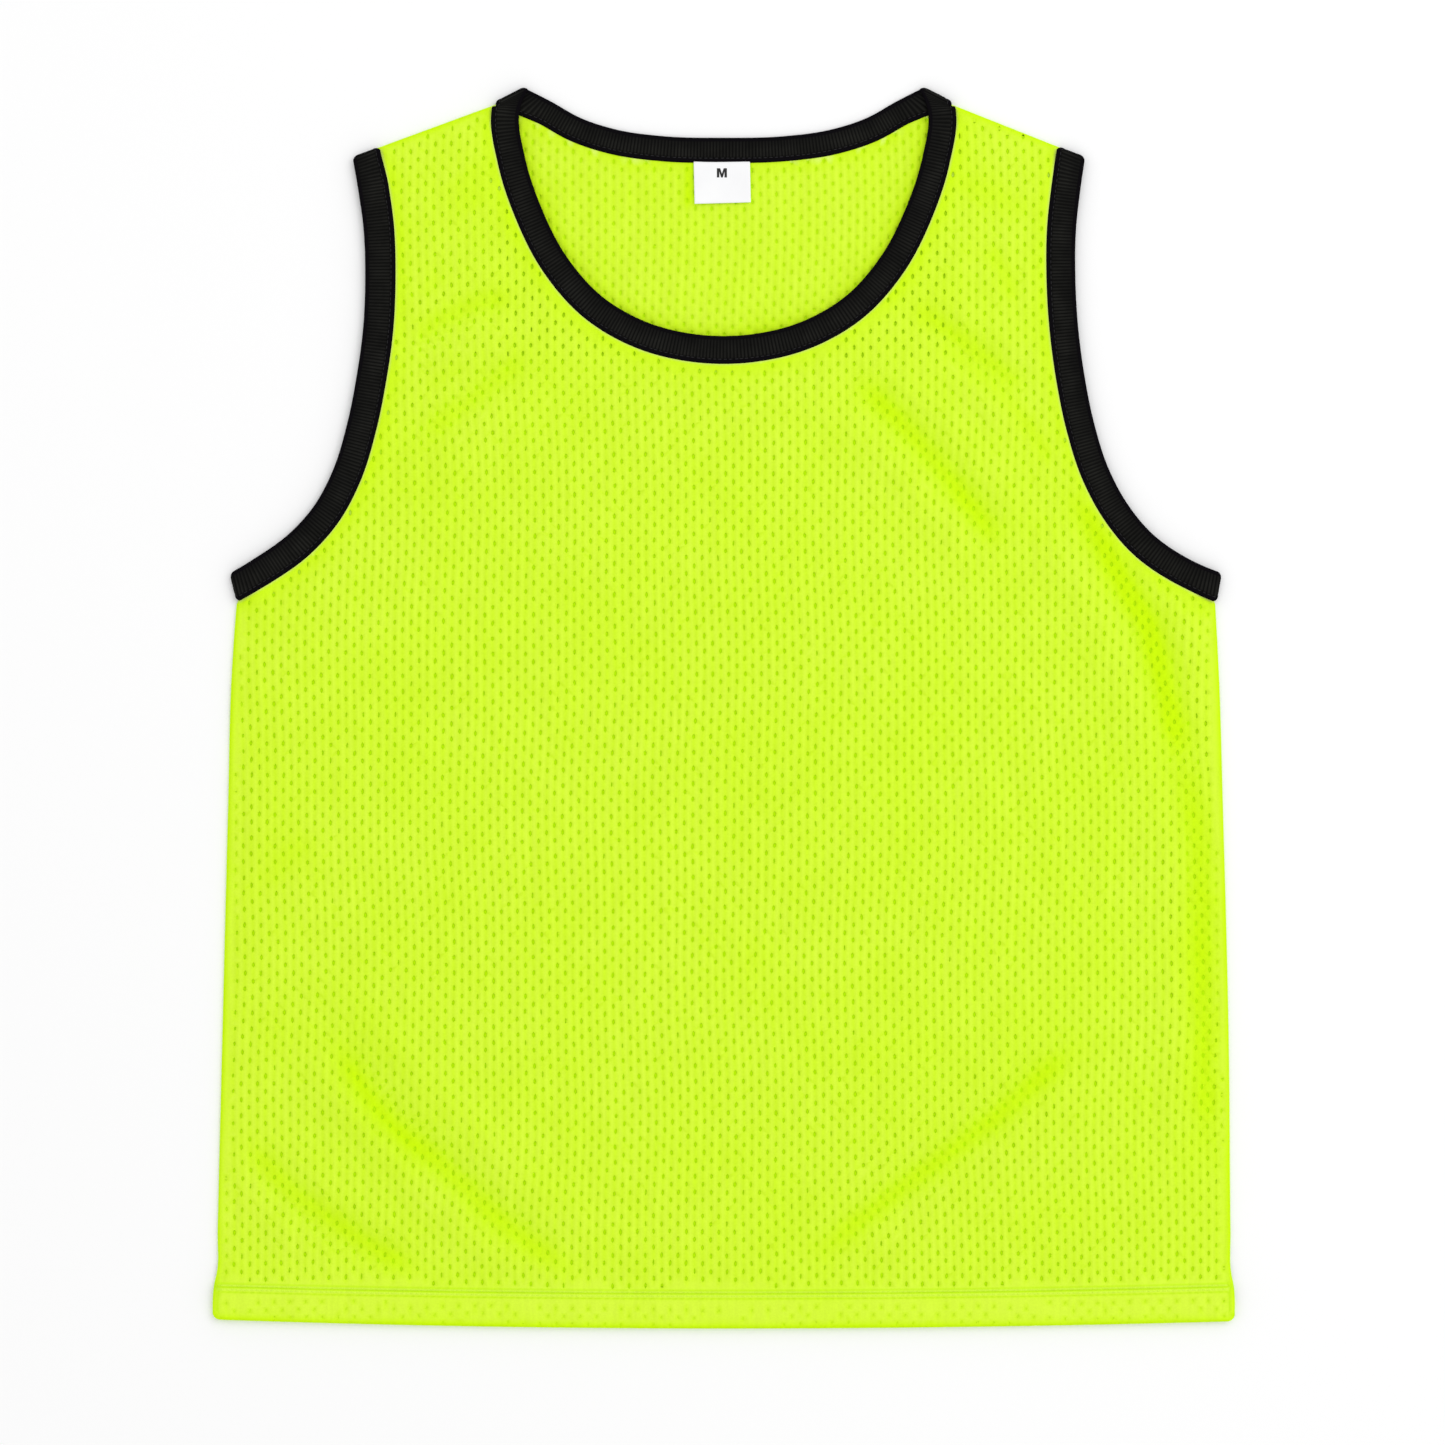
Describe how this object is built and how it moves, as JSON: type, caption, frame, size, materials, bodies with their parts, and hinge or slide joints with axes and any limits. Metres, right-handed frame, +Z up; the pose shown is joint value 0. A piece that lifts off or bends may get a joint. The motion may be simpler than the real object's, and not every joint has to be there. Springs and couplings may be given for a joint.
{
  "type": "mesh training bib",
  "caption": "Sleeveless scoop-neck training bib in neon mesh with black ribbed neck and armhole bindings, a turned-up hem and a neck size label, laid flat.",
  "frame": {"origin": "on the surface the bib lies on, at the middle of its width and its length", "axes": "+X across the bib to the right as seen from above, +Y from the hem to the shoulders, +Z up out of the surface"},
  "size_m": [0.511, 0.6189, 0.0061],
  "materials": {
    "neon_mesh": "knitted polyester eyelet mesh, semi-matt",
    "black_rib": "ribbed knit strip, matt",
    "white_satin": "woven satin label, soft sheen"
  },
  "bodies": {
    "root": {"front_panel": "neon_mesh", "back_panel": "neon_mesh", "neck_binding": "black_rib", "left_arm_binding": "black_rib", "right_arm_binding": "black_rib", "size_label": "white_satin"}
  },
  "joints": []
}
